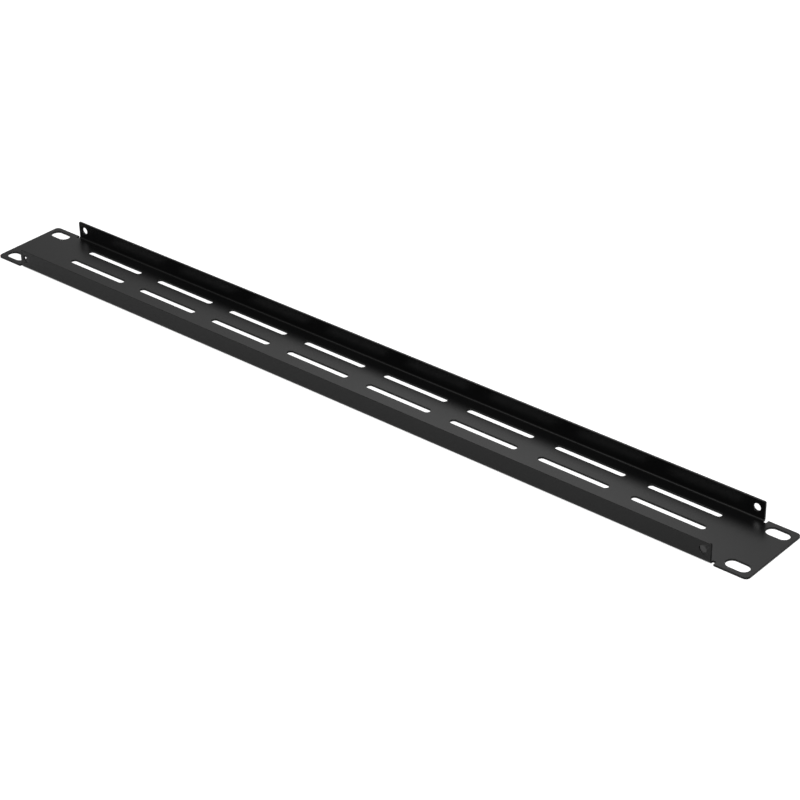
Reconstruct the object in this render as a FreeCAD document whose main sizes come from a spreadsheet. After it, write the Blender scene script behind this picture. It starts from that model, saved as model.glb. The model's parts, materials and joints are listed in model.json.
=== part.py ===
import FreeCAD, Part
import math
import os
import Sketcher
from FreeCAD import Vector

# Vented blanking panel, one rack unit high, folded from one steel sheet.
# Frame: origin at the middle of the front face, front face on Z = 0, X along the
# panel, Y across it, and both flanges folded up towards +Z, the inside of the rack.

SIZES = {
    # Sheet and folds
    "sheet_thickness": 1.1,
    "edge_break": 0.15,
    "bend_radius": 0.8,
    "flange_depth": 10.7,
    "flange_corner_radius": 0.8,
    # Front panel and its two ears
    "panel_length": 482.6,
    "panel_height": 43.66,
    "ear_width": 19.05,
    "ear_corner_radius": 2.5,
    # Notches that let each flange fold free of the ear beside it
    "relief_width": 1.5,
    "relief_overrun": 0.4,
    # Rack screw slots in the ears
    "rack_slot_length": 12.0,
    "rack_slot_width": 6.5,
    "rack_slot_end_margin": 8.75,
    "rack_slot_edge_margin": 5.955,
    # Vent slots, in rows along the panel, set a little towards the near flange
    "vent_length": 40.0,
    "vent_width": 3.5,
    "vent_pitch": 52.98,
    "vent_row_pitch": 12.9,
    "vent_row_shift": 0.65,
    "vent_end_margin": 15.0,
    "vent_edge_margin": 4.0,
    # Round holes through the flanges, one near each flange end
    "flange_hole_diameter": 3.85,
    "flange_hole_end_margin": 4.3,
    "flange_hole_edge_margin": 4.35,
}

# Lengths and counts that follow from the sheet's cells
HALF_LENGTH = "sizes.panel_length / 2"
HALF_HEIGHT = "sizes.panel_height / 2"
HALF_FLANGE = "(sizes.panel_length / 2 - sizes.ear_width)"
OUTSIDE_BEND = "(sizes.bend_radius + sizes.sheet_thickness)"
RELIEF_DEPTH = "(" + OUTSIDE_BEND + " + sizes.relief_overrun)"
VENT_RUN = "(2 * " + HALF_FLANGE + " - 2 * sizes.vent_end_margin - sizes.vent_length)"
VENT_RISE = (
    "(sizes.panel_height - 2 * " + OUTSIDE_BEND + " - 2 * sizes.vent_edge_margin - sizes.vent_width)"
)
VENT_GAPS = "floor(" + VENT_RUN + " / sizes.vent_pitch)"
VENT_ROW_GAPS = "floor(" + VENT_RISE + " / sizes.vent_row_pitch)"

# How a sketch numbers its origin and the points of a line or an arc
ORIGIN = (-1, 1)
START, END, CENTRE = range(1, 4)

NEAR = 0.001
SHARP_ANGLE = math.radians(30)


def fill_sheet(doc):
    """Write every driving size into the spreadsheet, one named cell each."""
    sheet = doc.addObject("Spreadsheet::Sheet", "sizes")
    for row, (name, size) in enumerate(SIZES.items(), start=1):
        sheet.set("A" + str(row), name)
        sheet.set("B" + str(row), str(size))
        sheet.setAlias("B" + str(row), name)
    doc.recompute()
    return sheet


def value(owner, expression):
    """Work out an expression on the sheet's cells as a plain number."""
    return float(owner.evalExpression(expression))


def origin_feature(body, role):
    """Return the body's own origin plane or axis of the given role."""
    return [feature for feature in body.Origin.OriginFeatures if feature.Role == role][0]


def add_sketch(body, name, plane):
    """Add an empty sketch on one of the body's origin planes."""
    sketch = body.newObject("Sketcher::SketchObject", name)
    sketch.AttachmentSupport = (origin_feature(body, plane), [""])
    sketch.MapMode = "FlatFace"
    return sketch


def dimension(sketch, name, expression, kind, *places):
    """Add a named dimension whose size follows an expression on the sheet."""
    index = sketch.addConstraint(Sketcher.Constraint(kind, *places, value(sketch, expression)))
    sketch.renameConstraint(index, name)
    sketch.setExpression("Constraints." + name, expression)


def draw_outline(sketch, corners):
    """Draw a closed outline of level and upright lines through the given corners."""
    points = [Vector(value(sketch, across), value(sketch, up), 0) for across, up in corners]
    lines = []
    for point, following in zip(points, points[1:] + points[:1]):
        line = sketch.addGeometry(Part.LineSegment(point, following))
        level = abs(point.y - following.y) < NEAR
        sketch.addConstraint(Sketcher.Constraint("Horizontal" if level else "Vertical", line))
        lines.append(line)
    for line, following in zip(lines, lines[1:] + lines[:1]):
        sketch.addConstraint(Sketcher.Constraint("Coincident", line, END, following, START))
    return lines


def draw_rectangle(sketch, left, right, bottom, top):
    """Draw a rectangle with its four sides set out from the sketch's origin."""
    corners = [(left, bottom), (right, bottom), (right, top), (left, top)]
    bottom_line, right_line, top_line, left_line = draw_outline(sketch, corners)
    dimension(sketch, "left_side", left, "DistanceX", *ORIGIN, left_line, END)
    dimension(sketch, "right_side", right, "DistanceX", *ORIGIN, right_line, END)
    dimension(sketch, "bottom_side", bottom, "DistanceY", *ORIGIN, bottom_line, END)
    dimension(sketch, "top_side", top, "DistanceY", *ORIGIN, top_line, END)


def draw_slot(sketch, length, width, across, up):
    """Draw a level slot with round ends, centred across and up from the origin."""
    half_span = "(" + length + " - " + width + ") / 2"
    radius = value(sketch, width) / 2
    middle = Vector(value(sketch, across), value(sketch, up), 0)
    span = Vector(value(sketch, half_span), 0, 0)
    rise = Vector(0, radius, 0)
    right, left = middle + span, middle - span
    right_circle = Part.Circle(right, Vector(0, 0, 1), radius)
    left_circle = Part.Circle(left, Vector(0, 0, 1), radius)
    pieces = [
        Part.ArcOfCircle(right_circle, -math.pi / 2, math.pi / 2),
        Part.LineSegment(right + rise, left + rise),
        Part.ArcOfCircle(left_circle, math.pi / 2, 3 * math.pi / 2),
        Part.LineSegment(left - rise, right - rise),
    ]
    loop = [sketch.addGeometry(piece) for piece in pieces]
    for piece, following in zip(loop, loop[1:] + loop[:1]):
        sketch.addConstraint(Sketcher.Constraint("Tangent", piece, END, following, START))
    right_end, top_side, left_end, _ = loop
    sketch.addConstraint(Sketcher.Constraint("Horizontal", top_side))
    sketch.addConstraint(Sketcher.Constraint("Equal", right_end, left_end))
    dimension(sketch, "end_radius", width + " / 2", "Radius", right_end)
    right_across = across + " + " + half_span
    left_across = across + " - " + half_span
    dimension(sketch, "right_end_across", right_across, "DistanceX", *ORIGIN, right_end, CENTRE)
    dimension(sketch, "left_end_across", left_across, "DistanceX", *ORIGIN, left_end, CENTRE)
    dimension(sketch, "right_end_up", up, "DistanceY", *ORIGIN, right_end, CENTRE)


def finish_feature(doc, body, feature, adds):
    """Rebuild the body and make sure that the feature added or removed metal."""
    before = 0.0 if body.Shape.isNull() else body.Shape.Volume
    body.Tip = feature
    doc.recompute()
    change = body.Shape.Volume - before
    if (change > 0) != adds or abs(change) < NEAR:
        raise RuntimeError(feature.Name + " changed the volume by " + str(change))
    return feature


def add_pad(doc, body, sketch, name, length, both_sides=False):
    """Pad a sketch along its normal, or half to each side of it."""
    pad = body.newObject("PartDesign::Pad", name)
    pad.Profile = sketch
    pad.SideType = "Symmetric" if both_sides else "One side"
    pad.setExpression("Length", length)
    return finish_feature(doc, body, pad, adds=True)


def add_cut(doc, body, sketch, name):
    """Cut a sketch through all the metal on both sides of it."""
    cut = body.newObject("PartDesign::Pocket", name)
    cut.Profile = sketch
    cut.SideType = "Symmetric"
    cut.Type = "ThroughAll"
    return finish_feature(doc, body, cut, adds=False)


def add_mirrors(doc, body, name, originals, planes, adds):
    """Repeat features across one or more of the body's origin planes."""
    repeat = body.newObject("PartDesign::MultiTransform", name)
    repeat.Originals = originals
    mirrors = []
    for plane in planes:
        mirror = body.newObject("PartDesign::Mirrored", name + "_" + plane)
        mirror.MirrorPlane = (origin_feature(body, plane), [""])
        mirrors.append(mirror)
    repeat.Transformations = mirrors
    return finish_feature(doc, body, repeat, adds)


def edges_where(shape, test):
    """Name the edges of a shape whose middle passes a test."""
    numbered = enumerate(shape.Edges, start=1)
    return ["Edge" + str(number) for number, edge in numbered if test(edge.CenterOfMass)]


def add_fillet(doc, body, name, radius, test, adds):
    """Round the edges whose middle passes a test."""
    base = body.Tip
    fillet = body.newObject("PartDesign::Fillet", name)
    fillet.Base = (base, edges_where(base.Shape, test))
    fillet.setExpression("Radius", radius)
    return finish_feature(doc, body, fillet, adds)


def is_sharp(shape, edge):
    """Say whether the two faces that meet at an edge turn by more than a gentle angle."""
    middle = edge.valueAt((edge.FirstParameter + edge.LastParameter) / 2)
    faces = shape.ancestorsOfType(edge, Part.Face)
    normals = [face.normalAt(*face.Surface.parameter(middle)) for face in faces]
    return len(normals) == 2 and normals[0].getAngle(normals[1]) > SHARP_ANGLE


def break_edges(doc, body):
    """Take the sharpness off every punched and sheared edge, as deburring does."""
    base = body.Tip
    numbered = enumerate(base.Shape.Edges, start=1)
    sharp = ["Edge" + str(number) for number, edge in numbered if is_sharp(base.Shape, edge)]
    chamfer = body.newObject("PartDesign::Chamfer", "broken_edges")
    chamfer.Base = (base, sharp)
    chamfer.setExpression("Size", "sizes.edge_break")
    finish_feature(doc, body, chamfer, adds=False)


def add_channel(doc, body):
    """Make the folded channel: the front web and its two flanges, between the ears."""
    thickness = "sizes.sheet_thickness"
    depth = "sizes.flange_depth"
    inside = "(" + HALF_HEIGHT + " - " + thickness + ")"
    section = add_sketch(body, "channel_section", "YZ_Plane")
    corners = [
        ("-" + HALF_HEIGHT, "0"),
        (HALF_HEIGHT, "0"),
        (HALF_HEIGHT, depth),
        (inside, depth),
        (inside, thickness),
        ("-" + inside, thickness),
        ("-" + inside, depth),
        ("-" + HALF_HEIGHT, depth),
    ]
    lines = draw_outline(section, corners)
    base, far_outside, far_rim, _, web, _, near_rim, near_outside = lines
    section.addConstraint(Sketcher.Constraint("Symmetric", base, START, base, END, *ORIGIN))
    section.addConstraint(Sketcher.Constraint("Equal", far_rim, near_rim))
    section.addConstraint(Sketcher.Constraint("Equal", far_outside, near_outside))
    dimension(section, "panel_height", "sizes.panel_height", "DistanceX", base, START, base, END)
    dimension(section, "flange_depth", depth, "DistanceY", base, END, far_rim, START)
    dimension(section, "flange_thickness", thickness, "DistanceX", far_rim, END, far_rim, START)
    dimension(section, "web_thickness", thickness, "DistanceY", *ORIGIN, web, START)
    add_pad(doc, body, section, "channel", "2 * " + HALF_FLANGE, both_sides=True)
    fold = value(body, HALF_HEIGHT)
    inner_fold = value(body, inside)
    skin = value(body, thickness)
    add_fillet(
        doc, body, "outside_folds", OUTSIDE_BEND,
        lambda point: abs(abs(point.y) - fold) < NEAR and abs(point.z) < NEAR, adds=False)
    add_fillet(
        doc, body, "inside_folds", "sizes.bend_radius",
        lambda point: abs(abs(point.y) - inner_fold) < NEAR and abs(point.z - skin) < NEAR, adds=True)


def add_ears(doc, body):
    """Add the two flat ears that bolt to the rack, with a notch beside each flange end."""
    ear_sketch = add_sketch(body, "ear_outline", "XY_Plane")
    draw_rectangle(ear_sketch, HALF_FLANGE, HALF_LENGTH, "-" + HALF_HEIGHT, HALF_HEIGHT)
    ear = add_pad(doc, body, ear_sketch, "ear", "sizes.sheet_thickness")
    add_mirrors(doc, body, "ears", [ear], ["YZ_Plane"], adds=True)
    relief_sketch = add_sketch(body, "relief_outline", "XY_Plane")
    relief_end = "(" + HALF_FLANGE + " + sizes.relief_width)"
    relief_bottom = "(" + HALF_HEIGHT + " - " + RELIEF_DEPTH + ")"
    draw_rectangle(relief_sketch, HALF_FLANGE, relief_end, relief_bottom, HALF_HEIGHT)
    relief = add_cut(doc, body, relief_sketch, "relief")
    add_mirrors(doc, body, "reliefs", [relief], ["YZ_Plane", "XZ_Plane"], adds=False)
    end = value(body, HALF_LENGTH)
    edge = value(body, HALF_HEIGHT)
    add_fillet(
        doc, body, "ear_corners", "sizes.ear_corner_radius",
        lambda point: abs(abs(point.x) - end) < NEAR and abs(abs(point.y) - edge) < NEAR, adds=False)


def round_flange_corners(doc, body):
    """Round the two free corners of each flange."""
    end = value(body, HALF_FLANGE)
    rim = value(body, "sizes.flange_depth")
    add_fillet(
        doc, body, "flange_corners", "sizes.flange_corner_radius",
        lambda point: abs(abs(point.x) - end) < NEAR and abs(point.z - rim) < NEAR, adds=False)


def cut_rack_slots(doc, body):
    """Cut the screw slots, two in each ear."""
    sketch = add_sketch(body, "rack_slot_outline", "XY_Plane")
    across = HALF_LENGTH + " - sizes.rack_slot_end_margin"
    up = HALF_HEIGHT + " - sizes.rack_slot_edge_margin"
    draw_slot(sketch, "sizes.rack_slot_length", "sizes.rack_slot_width", across, up)
    slot = add_cut(doc, body, sketch, "rack_slot")
    add_mirrors(doc, body, "rack_slots", [slot], ["YZ_Plane", "XZ_Plane"], adds=False)


def cut_vents(doc, body):
    """Cut the rows of vent slots, all repeated from the one nearest the far right corner."""
    sketch = add_sketch(body, "vent_outline", "XY_Plane")
    across = VENT_GAPS + " * sizes.vent_pitch / 2"
    up = VENT_ROW_GAPS + " * sizes.vent_row_pitch / 2 - sizes.vent_row_shift"
    draw_slot(sketch, "sizes.vent_length", "sizes.vent_width", across, up)
    vent = add_cut(doc, body, sketch, "vent")
    rows = body.newObject("PartDesign::LinearPattern", "vents")
    rows.Originals = [vent]
    rows.Direction = (origin_feature(body, "X_Axis"), [""])
    rows.Direction2 = (origin_feature(body, "Y_Axis"), [""])
    rows.Reversed = True
    rows.Reversed2 = True
    rows.Mode = "Extent"
    rows.Mode2 = "Extent"
    rows.setExpression("Length", VENT_GAPS + " * sizes.vent_pitch")
    rows.setExpression("Length2", VENT_ROW_GAPS + " * sizes.vent_row_pitch")
    rows.setExpression("Occurrences", VENT_GAPS + " + 1")
    rows.setExpression("Occurrences2", VENT_ROW_GAPS + " + 1")
    finish_feature(doc, body, rows, adds=False)


def cut_flange_holes(doc, body):
    """Drill the round hole near each end of both flanges."""
    sketch = add_sketch(body, "flange_hole_outline", "XZ_Plane")
    across = HALF_FLANGE + " - sizes.flange_hole_end_margin"
    up = "sizes.flange_depth - sizes.flange_hole_edge_margin"
    centre = Vector(value(sketch, across), value(sketch, up), 0)
    radius = value(sketch, "sizes.flange_hole_diameter / 2")
    circle = sketch.addGeometry(Part.Circle(centre, Vector(0, 0, 1), radius))
    dimension(sketch, "diameter", "sizes.flange_hole_diameter", "Diameter", circle)
    dimension(sketch, "across", across, "DistanceX", *ORIGIN, circle, CENTRE)
    dimension(sketch, "up", up, "DistanceY", *ORIGIN, circle, CENTRE)
    hole = add_cut(doc, body, sketch, "flange_hole")
    add_mirrors(doc, body, "flange_holes", [hole], ["YZ_Plane"], adds=False)


def check_document(doc):
    """Stop if any object failed to rebuild or any body is not a single sound solid."""
    for item in doc.Objects:
        if "Invalid" in item.State or "Error" in item.State:
            raise RuntimeError(item.Name + " did not rebuild: " + str(item.State))
    for body in doc.findObjects("PartDesign::Body"):
        if body.Shape.isNull() or not body.Shape.isValid() or len(body.Shape.Solids) != 1:
            raise RuntimeError(body.Label + " is not one valid solid")


def make_panel(doc):
    """Build the folded sheet, the panel's only piece."""
    body = doc.addObject("PartDesign::Body", "panel")
    body.Label = "panel"
    body.Placement = FreeCAD.Placement()
    doc.recompute()
    add_channel(doc, body)
    add_ears(doc, body)
    round_flange_corners(doc, body)
    cut_rack_slots(doc, body)
    cut_vents(doc, body)
    cut_flange_holes(doc, body)
    break_edges(doc, body)
    return body


document = FreeCAD.newDocument("blanking_panel")
fill_sheet(document)
panel = make_panel(document)
document.recompute()
check_document(document)
os.makedirs("parts", exist_ok=True)
panel.Shape.exportStep("parts/" + panel.Label + ".step")
bounds = panel.Shape.BoundBox
print(panel.Label, "solid", round(bounds.XLength, 3), round(bounds.YLength, 3), round(bounds.ZLength, 3))
print("volume", round(panel.Shape.Volume, 1), "mm3 with", len(panel.Shape.Faces), "faces")
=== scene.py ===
import json
import logging
import math
from dataclasses import dataclass, field
from enum import Enum
from typing import Any

import bpy
from mathutils import Matrix, Vector

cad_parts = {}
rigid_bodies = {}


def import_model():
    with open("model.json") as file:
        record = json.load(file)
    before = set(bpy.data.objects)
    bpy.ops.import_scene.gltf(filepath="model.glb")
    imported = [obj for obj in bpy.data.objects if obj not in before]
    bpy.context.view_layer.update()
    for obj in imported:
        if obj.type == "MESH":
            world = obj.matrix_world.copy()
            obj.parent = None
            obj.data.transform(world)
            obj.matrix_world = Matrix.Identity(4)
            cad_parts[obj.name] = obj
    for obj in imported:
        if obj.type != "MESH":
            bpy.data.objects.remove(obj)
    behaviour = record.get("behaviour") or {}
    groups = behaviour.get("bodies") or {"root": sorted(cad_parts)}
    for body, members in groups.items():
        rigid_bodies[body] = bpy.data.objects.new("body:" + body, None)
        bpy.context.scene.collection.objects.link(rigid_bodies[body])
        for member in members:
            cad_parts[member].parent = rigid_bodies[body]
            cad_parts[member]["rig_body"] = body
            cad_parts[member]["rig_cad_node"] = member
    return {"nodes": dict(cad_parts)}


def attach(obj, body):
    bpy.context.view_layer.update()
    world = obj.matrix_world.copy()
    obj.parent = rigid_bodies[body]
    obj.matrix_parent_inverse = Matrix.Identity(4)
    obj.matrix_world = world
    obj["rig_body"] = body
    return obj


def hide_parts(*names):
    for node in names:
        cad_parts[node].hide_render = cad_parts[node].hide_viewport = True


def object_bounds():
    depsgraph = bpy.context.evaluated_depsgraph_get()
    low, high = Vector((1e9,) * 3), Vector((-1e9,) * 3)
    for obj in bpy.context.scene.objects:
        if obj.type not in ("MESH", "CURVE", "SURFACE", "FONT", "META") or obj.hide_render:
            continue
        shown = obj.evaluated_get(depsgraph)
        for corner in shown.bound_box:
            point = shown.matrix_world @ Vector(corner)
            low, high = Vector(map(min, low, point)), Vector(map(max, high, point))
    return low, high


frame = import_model()
CAD_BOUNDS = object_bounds()

LOG = logging.getLogger("blanking_panel")
MM = 0.001
WHITE = (1.0, 1.0, 1.0, 1.0)
FULL_WHITE = 1.0
NOISE_MIDDLE = 0.5

Values = dict[str | int, Any]
Stops = tuple[tuple[float, tuple[float, ...]], ...]


def direction(azimuth: float, elevation: float) -> Vector:
    """Point from the object towards a lamp or the camera.

    Args:
        azimuth: The turn in degrees, from -Y towards +X.
        elevation: The height in degrees above the floor.

    Returns:
        The direction, one metre long.
    """
    turn, rise = math.radians(azimuth), math.radians(elevation)
    return Vector((math.sin(turn) * math.cos(rise), -math.cos(turn) * math.cos(rise), math.sin(rise)))


class Ray(Enum):
    """Kinds of ray that are told apart when the backdrop is shown."""

    CAMERA = "Is Camera Ray"
    GLOSSY = "Is Glossy Ray"
    TRANSMISSION = "Is Transmission Ray"


class Outlet(Enum):
    """The node that a tree ends in."""

    MATERIAL = "ShaderNodeOutputMaterial"
    WORLD = "ShaderNodeOutputWorld"


class Say(Enum):
    """How much a face counts in the shading of the corners that it shares."""

    STRONG = "STRONG"
    MEDIUM = "MEDIUM"
    WEAK = "WEAK"


class Wire:
    """One output socket of a node tree, on which shader maths is written as Python."""

    def __init__(self, graph: "Graph", socket: bpy.types.NodeSocket) -> None:
        """Keep the socket and the graph that it belongs to.

        Args:
            graph: The graph that makes the nodes.
            socket: The output socket.
        """
        self.graph = graph
        self.socket = socket

    def _math(self, operation: str, *values: Any) -> "Wire":
        """Add a Math node on numbers or wires."""
        settings = {"operation": operation}
        return self.graph.node("ShaderNodeMath", settings, dict(enumerate(values)))

    def __add__(self, other: Any) -> "Wire":
        """Add a number or a wire."""
        return self._math("ADD", self, other)

    __radd__ = __add__

    def __sub__(self, other: Any) -> "Wire":
        """Take away a number or a wire."""
        return self._math("SUBTRACT", self, other)

    def __rsub__(self, other: Any) -> "Wire":
        """Take this wire from a number."""
        return self._math("SUBTRACT", other, self)

    def __mul__(self, other: Any) -> "Wire":
        """Multiply by a number or a wire."""
        return self._math("MULTIPLY", self, other)

    __rmul__ = __mul__

    def at_most(self, other: Any) -> "Wire":
        """Hold the value at or under another."""
        return self._math("MINIMUM", self, other)


class Graph:
    """A material's or a world's node tree, emptied and built in code."""

    def __init__(self, owner: bpy.types.Material | bpy.types.World) -> None:
        """Empty the owner's node tree.

        Args:
            owner: The material or world to build.
        """
        owner.use_nodes = True
        self.tree = owner.node_tree
        self.tree.nodes.clear()

    def node(self, kind: str, settings: Values, inputs: Values, output: str | int = 0) -> Wire:
        """Add one node.

        Args:
            kind: The node's type.
            settings: Its own settings, set before its sockets. A ramp's stops are named "stops".
            inputs: Values or wires for its input sockets, by name or number.
            output: The output socket that is wanted.

        Returns:
            The wire from that output.
        """
        made = self.tree.nodes.new(kind)
        for name, setting in settings.items():
            if name == "stops":
                self._set_stops(made.color_ramp, setting)
            else:
                setattr(made, name, setting)
        for name, given in inputs.items():
            if isinstance(given, Wire):
                self.tree.links.new(given.socket, made.inputs[name])
            else:
                made.inputs[name].default_value = given
        return Wire(self, made.outputs[output])

    @staticmethod
    def _set_stops(ramp: bpy.types.ColorRamp, stops: Stops) -> None:
        """Give a colour ramp its stops.

        Args:
            ramp: The ramp, which starts with two stops.
            stops: Two pairs of position and colour, from low to high.
        """
        for element, (position, colour) in zip(ramp.elements, stops, strict=True):
            element.position = position
            element.color = colour

    def place(self) -> Wire:
        """Read the place on the object, in metres."""
        return self.node("ShaderNodeTexCoord", {}, {}, "Object")

    def noise(self, place: Wire, pattern: "Pattern") -> Wire:
        """Add a noise pattern.

        Args:
            place: The coordinates that it follows, in metres.
            pattern: Its size, its detail and its seed.

        Returns:
            The noise value, about NOISE_MIDDLE on average.
        """
        settings = {"noise_dimensions": "4D"}
        inputs = {
            "Vector": place,
            "W": pattern.seed,
            "Scale": 1.0 / pattern.feature,
            "Detail": pattern.detail,
        }
        return self.node("ShaderNodeTexNoise", settings, inputs)

    def ray(self, *kinds: Ray) -> Wire:
        """Tell kinds of ray apart.

        Args:
            kinds: The kinds that are wanted.

        Returns:
            A wire that is 1 for those kinds and 0 for the others.
        """
        parts = [self.node("ShaderNodeLightPath", {}, {}, kind.value) for kind in kinds]
        total = parts[0]
        for part in parts[1:]:
            total = total + part
        return total.at_most(1.0)

    def mix(self, share: Wire, first: Wire, second: Wire) -> Wire:
        """Mix two shaders.

        Args:
            share: The share of the second one, from 0 to 1.
            first: The shader at share 0.
            second: The shader at share 1.

        Returns:
            The mixed shader.
        """
        return self.node("ShaderNodeMixShader", {}, {0: share, 1: first, 2: second})

    def end(self, outlet: Outlet, shader: Wire) -> None:
        """Join the finished shader to the tree's own output."""
        self.tree.links.new(shader.socket, self.tree.nodes.new(outlet.value).inputs["Surface"])


@dataclass(frozen=True)
class Pattern:
    """A noise pattern: the size of its features in metres, its finer layers and its own seed."""

    feature: float
    detail: float
    seed: float


@dataclass(frozen=True)
class PowderCoat:
    """Black satin powder coat on steel."""

    name: str = "black_satin_coat"
    colour: tuple[float, float, float] = (0.0026, 0.0026, 0.0027)
    colour_lift: float = 1.5
    dark_cloud: float = 0.35
    light_cloud: float = 0.7
    roughness: float = 0.35
    roughness_swing: float = 0.05
    index_of_refraction: float = 1.4
    cloud: Pattern = Pattern(feature=45 * MM, detail=3.0, seed=1.0)
    peel: Pattern = Pattern(feature=1.6 * MM, detail=1.0, seed=2.0)
    grain: Pattern = Pattern(feature=0.35 * MM, detail=2.0, seed=3.0)
    peel_depth: float = 0.004 * MM
    grain_depth: float = 0.0015 * MM

    def make(self) -> bpy.types.Material:
        """Build the material.

        Returns:
            The coat, with its cloudiness, orange peel and grain.
        """
        material = bpy.data.materials.new(self.name)
        graph = Graph(material)
        place = graph.place()
        cloud = graph.noise(place, self.cloud)
        peel = graph.noise(place, self.peel)
        grain = graph.noise(place, self.grain)
        lifted = tuple(channel * self.colour_lift for channel in self.colour)
        stops = ((self.dark_cloud, (*self.colour, 1.0)), (self.light_cloud, (*lifted, 1.0)))
        colour = graph.node("ShaderNodeValToRGB", {"stops": stops}, {"Fac": cloud})
        roughness = self.roughness + (cloud + grain - 2 * NOISE_MIDDLE) * self.roughness_swing
        height = peel * self.peel_depth + grain * self.grain_depth
        bump = graph.node("ShaderNodeBump", {}, {"Strength": 1.0, "Distance": 1.0, "Height": height})
        inputs = {
            "Base Color": colour,
            "Roughness": roughness,
            "IOR": self.index_of_refraction,
            "Normal": bump,
        }
        shader = graph.node("ShaderNodeBsdfPrincipled", {}, inputs)
        graph.end(Outlet.MATERIAL, shader)
        return material


@dataclass(frozen=True)
class PaleFloor:
    """Smooth white floor that keeps the object's soft shadow."""

    name: str = "pale_floor"
    colour: tuple[float, float, float, float] = (0.75, 0.75, 0.75, 1.0)
    lift: float = 0.7
    share_in_gloss: float = 0.15

    def make(self) -> bpy.types.Material:
        """Build the material.

        Returns:
            The floor, brought up to white to the eye and through clear things, and partly in gloss.
        """
        material = bpy.data.materials.new(self.name)
        graph = Graph(material)
        matt = graph.node("ShaderNodeBsdfDiffuse", {}, {"Color": self.colour})
        glow = graph.node("ShaderNodeEmission", {}, {"Color": WHITE, "Strength": self.lift})
        lifted = graph.node("ShaderNodeAddShader", {}, {0: matt, 1: glow})
        seen = graph.ray(Ray.CAMERA, Ray.TRANSMISSION) + graph.ray(Ray.GLOSSY) * self.share_in_gloss
        graph.end(Outlet.MATERIAL, graph.mix(seen.at_most(1.0), matt, lifted))
        return material


@dataclass
class FoldedSheet:
    """The panel itself: one folded steel sheet, coated all over."""

    node: str = "panel"
    body: str = "root"
    slot: str = "black_coat"
    weld_distance: float = 0.001 * MM
    smooth_angle: float = math.radians(50)
    flatness: float = 0.001
    area_weight: int = 100
    coat: PowderCoat = field(default_factory=PowderCoat)

    def _copy_of_sheet(self) -> bpy.types.Object:
        """Copy the sheet's solid, join its loose triangles and leave the copy selected alone.

        Returns:
            The new piece.
        """
        source = frame["nodes"][self.node]
        bpy.ops.object.select_all(action="DESELECT")
        source.select_set(True)
        bpy.context.view_layer.objects.active = source
        bpy.ops.object.duplicate()
        piece = bpy.context.view_layer.objects.active
        bpy.ops.object.mode_set(mode="EDIT")
        bpy.ops.mesh.select_all(action="SELECT")
        bpy.ops.mesh.remove_doubles(threshold=self.weld_distance)
        bpy.ops.object.mode_set(mode="OBJECT")
        return piece

    def _weigh_faces(self, piece: bpy.types.Object) -> None:
        """Rank the faces, so that each flat sets the shading where a fold or a broken edge meets it.

        A flat of the sheet looks straight along one axis. A fold, a slot's round end or a straight
        broken edge leans about one axis, and the small faces at round edges lean about two.

        Args:
            piece: The joined copy of the sheet.
        """
        for level_axes, say in ((2, Say.STRONG), (1, Say.MEDIUM), (0, Say.WEAK)):
            bpy.ops.object.mode_set(mode="EDIT")
            bpy.ops.mesh.select_mode(type="FACE")
            bpy.ops.mesh.select_all(action="DESELECT")
            bpy.ops.object.mode_set(mode="OBJECT")
            for face in piece.data.polygons:
                level = sum(abs(part) < self.flatness for part in face.normal)
                face.select = level == level_axes
            bpy.ops.object.mode_set(mode="EDIT")
            bpy.ops.mesh.mod_weighted_strength(set=True, face_strength=say.value)
            bpy.ops.object.mode_set(mode="OBJECT")

    def _round_the_light(self, piece: bpy.types.Object) -> None:
        """Shade folds and broken edges as smooth curves, and keep the flats flat.

        Args:
            piece: The joined copy of the sheet.
        """
        bpy.ops.mesh.customdata_custom_splitnormals_clear()
        bpy.ops.object.shade_smooth_by_angle(angle=self.smooth_angle)
        self._weigh_faces(piece)
        bpy.ops.object.modifier_add(type="WEIGHTED_NORMAL")
        weighting = piece.modifiers[-1]
        weighting.mode = "FACE_AREA"
        weighting.weight = self.area_weight
        weighting.keep_sharp = True
        weighting.use_face_influence = True
        bpy.ops.object.modifier_apply(modifier=weighting.name)

    def build(self) -> bpy.types.Object:
        """Make the shown sheet and dress it.

        Returns:
            The finished piece, which stands for the solid.
        """
        piece = self._copy_of_sheet()
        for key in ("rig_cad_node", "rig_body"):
            del piece[key]
        piece.name = "folded_sheet"
        piece.parent = None
        self._round_the_light(piece)
        piece.data.materials.clear()
        piece.data.materials.append(self.coat.make())
        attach(piece, self.body)
        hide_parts(self.node)
        return piece


@dataclass
class Lamp:
    """One soft lamp: a glowing rectangle that faces the middle of the object."""

    name: str
    azimuth: float
    elevation: float
    distance: float
    width: float
    height: float
    power: float

    def build(self, target: Vector) -> bpy.types.Object:
        """Hang the lamp.

        Args:
            target: The point that it faces.

        Returns:
            The lamp.
        """
        away = direction(self.azimuth, self.elevation)
        light = bpy.data.lights.new(self.name, "AREA")
        light.shape = "RECTANGLE"
        light.size = self.width
        light.size_y = self.height
        light.energy = self.power
        lamp = bpy.data.objects.new(self.name, light)
        lamp.location = target + away * self.distance
        lamp.rotation_euler = (-away).to_track_quat("-Z", "Y").to_euler()
        bpy.context.scene.collection.objects.link(lamp)
        return lamp


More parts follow.
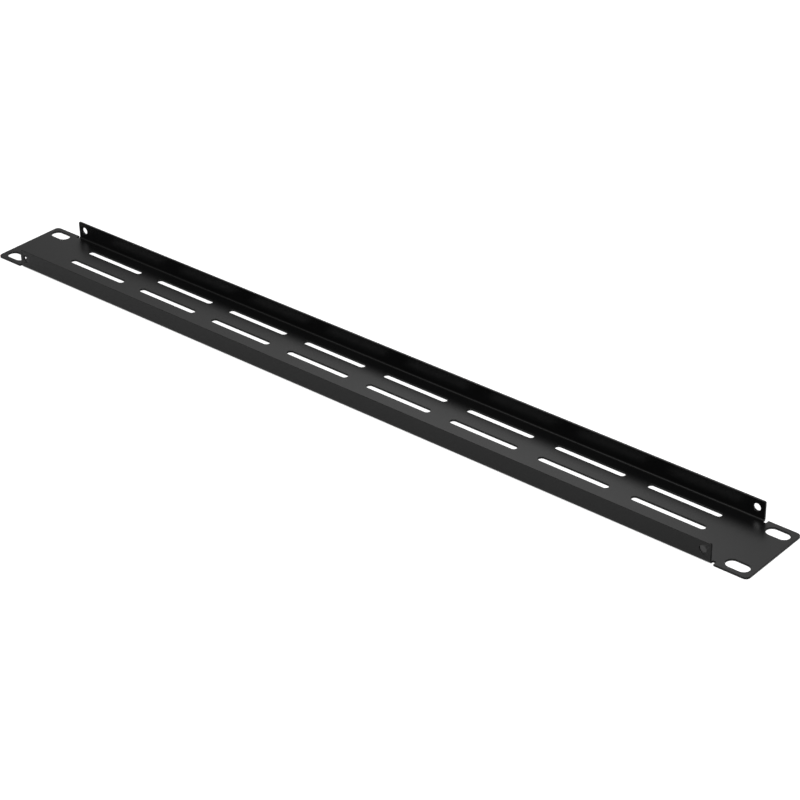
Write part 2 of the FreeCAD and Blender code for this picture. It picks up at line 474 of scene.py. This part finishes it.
@dataclass
class Studio:
    """Floor, lamps and sky round the object."""

    floor_size: float = 5.0
    floor_drop: float = 0.02 * MM
    sky: float = 0.2
    sky_share_in_gloss: float = 0.05
    finish: PaleFloor = field(default_factory=PaleFloor)
    lamps: tuple[Lamp, ...] = (
        Lamp("front_lamp", azimuth=45.0, elevation=45.0, distance=2.2, width=1.2, height=1.2, power=26.5),
        Lamp("left_lamp", azimuth=320.0, elevation=60.0, distance=2.2, width=1.0, height=1.0, power=5.7),
        Lamp("back_panel", azimuth=222.0, elevation=33.0, distance=3.0, width=1.4, height=1.8, power=3.3),
        Lamp("back_lamp", azimuth=215.0, elevation=40.0, distance=3.0, width=1.0, height=1.4, power=5.4),
    )

    def _floor(self) -> bpy.types.Object:
        """Lay the floor just under the object's lowest face.

        Returns:
            The floor.
        """
        low = CAD_BOUNDS[0]
        bpy.ops.object.select_all(action="DESELECT")
        bpy.ops.mesh.primitive_plane_add(size=self.floor_size, location=(0.0, 0.0, low.z - self.floor_drop))
        bpy.ops.object.transform_apply(location=True, rotation=True, scale=True)
        floor = bpy.context.view_layer.objects.active
        floor.name = "floor"
        floor.data.materials.append(self.finish.make())
        return floor

    def _sky(self) -> bpy.types.World:
        """Make a plain sky that is white where it is seen and softer where it lights.

        Returns:
            The world.
        """
        world = bpy.data.worlds.new("plain_sky")
        bpy.context.scene.world = world
        graph = Graph(world)
        soft = graph.node("ShaderNodeBackground", {}, {"Color": WHITE, "Strength": self.sky})
        white = graph.node("ShaderNodeBackground", {}, {"Color": WHITE, "Strength": FULL_WHITE})
        seen = graph.ray(Ray.CAMERA, Ray.TRANSMISSION) + graph.ray(Ray.GLOSSY) * self.sky_share_in_gloss
        graph.end(Outlet.WORLD, graph.mix(seen.at_most(1.0), soft, white))
        return world

    def build(self) -> None:
        """Set up the whole studio and its plain colour handling."""
        low, high = CAD_BOUNDS
        self._floor()
        self._sky()
        for lamp in self.lamps:
            lamp.build((low + high) / 2)
            LOG.info("lamp %s", lamp.name)
        bpy.context.scene.view_settings.view_transform = "Standard"


@dataclass(frozen=True)
class Viewpoint:
    """The camera, by the point that it looks at and where it stands from there."""

    aim: tuple[float, float, float] = (27.18 * MM, -0.11 * MM, 0.0)
    azimuth: float = 41.11
    elevation: float = 30.723
    roll: float = -1.093
    distance: float = 1147.73 * MM
    lens: float = 106.5
    sensor: float = 36.0
    nearest: float = 10 * MM
    farthest: float = 50.0

    def build(self) -> bpy.types.Object:
        """Make the camera and let the scene look through it.

        Returns:
            The camera.
        """
        back = direction(self.azimuth, self.elevation)
        data = bpy.data.cameras.new("camera")
        data.lens = self.lens
        data.sensor_width = self.sensor
        data.clip_start = self.nearest
        data.clip_end = self.farthest
        camera = bpy.data.objects.new("camera", data)
        look = (-back).to_track_quat("-Z", "Y").to_matrix().to_4x4()
        tilt = Matrix.Rotation(math.radians(self.roll), 4, "Z")
        camera.matrix_world = Matrix.Translation(Vector(self.aim) + back * self.distance) @ look @ tilt
        bpy.context.scene.collection.objects.link(camera)
        bpy.context.scene.camera = camera
        return camera


def main() -> None:
    """Build the camera, the sheet and the studio, in that order."""
    logging.basicConfig(level=logging.INFO, format="%(name)s: %(message)s")
    Viewpoint().build()
    LOG.info("camera")
    sheet = FoldedSheet().build()
    LOG.info("piece %s with %d faces", sheet.name, len(sheet.data.polygons))
    Studio().build()


if __name__ == "__main__":
    main()
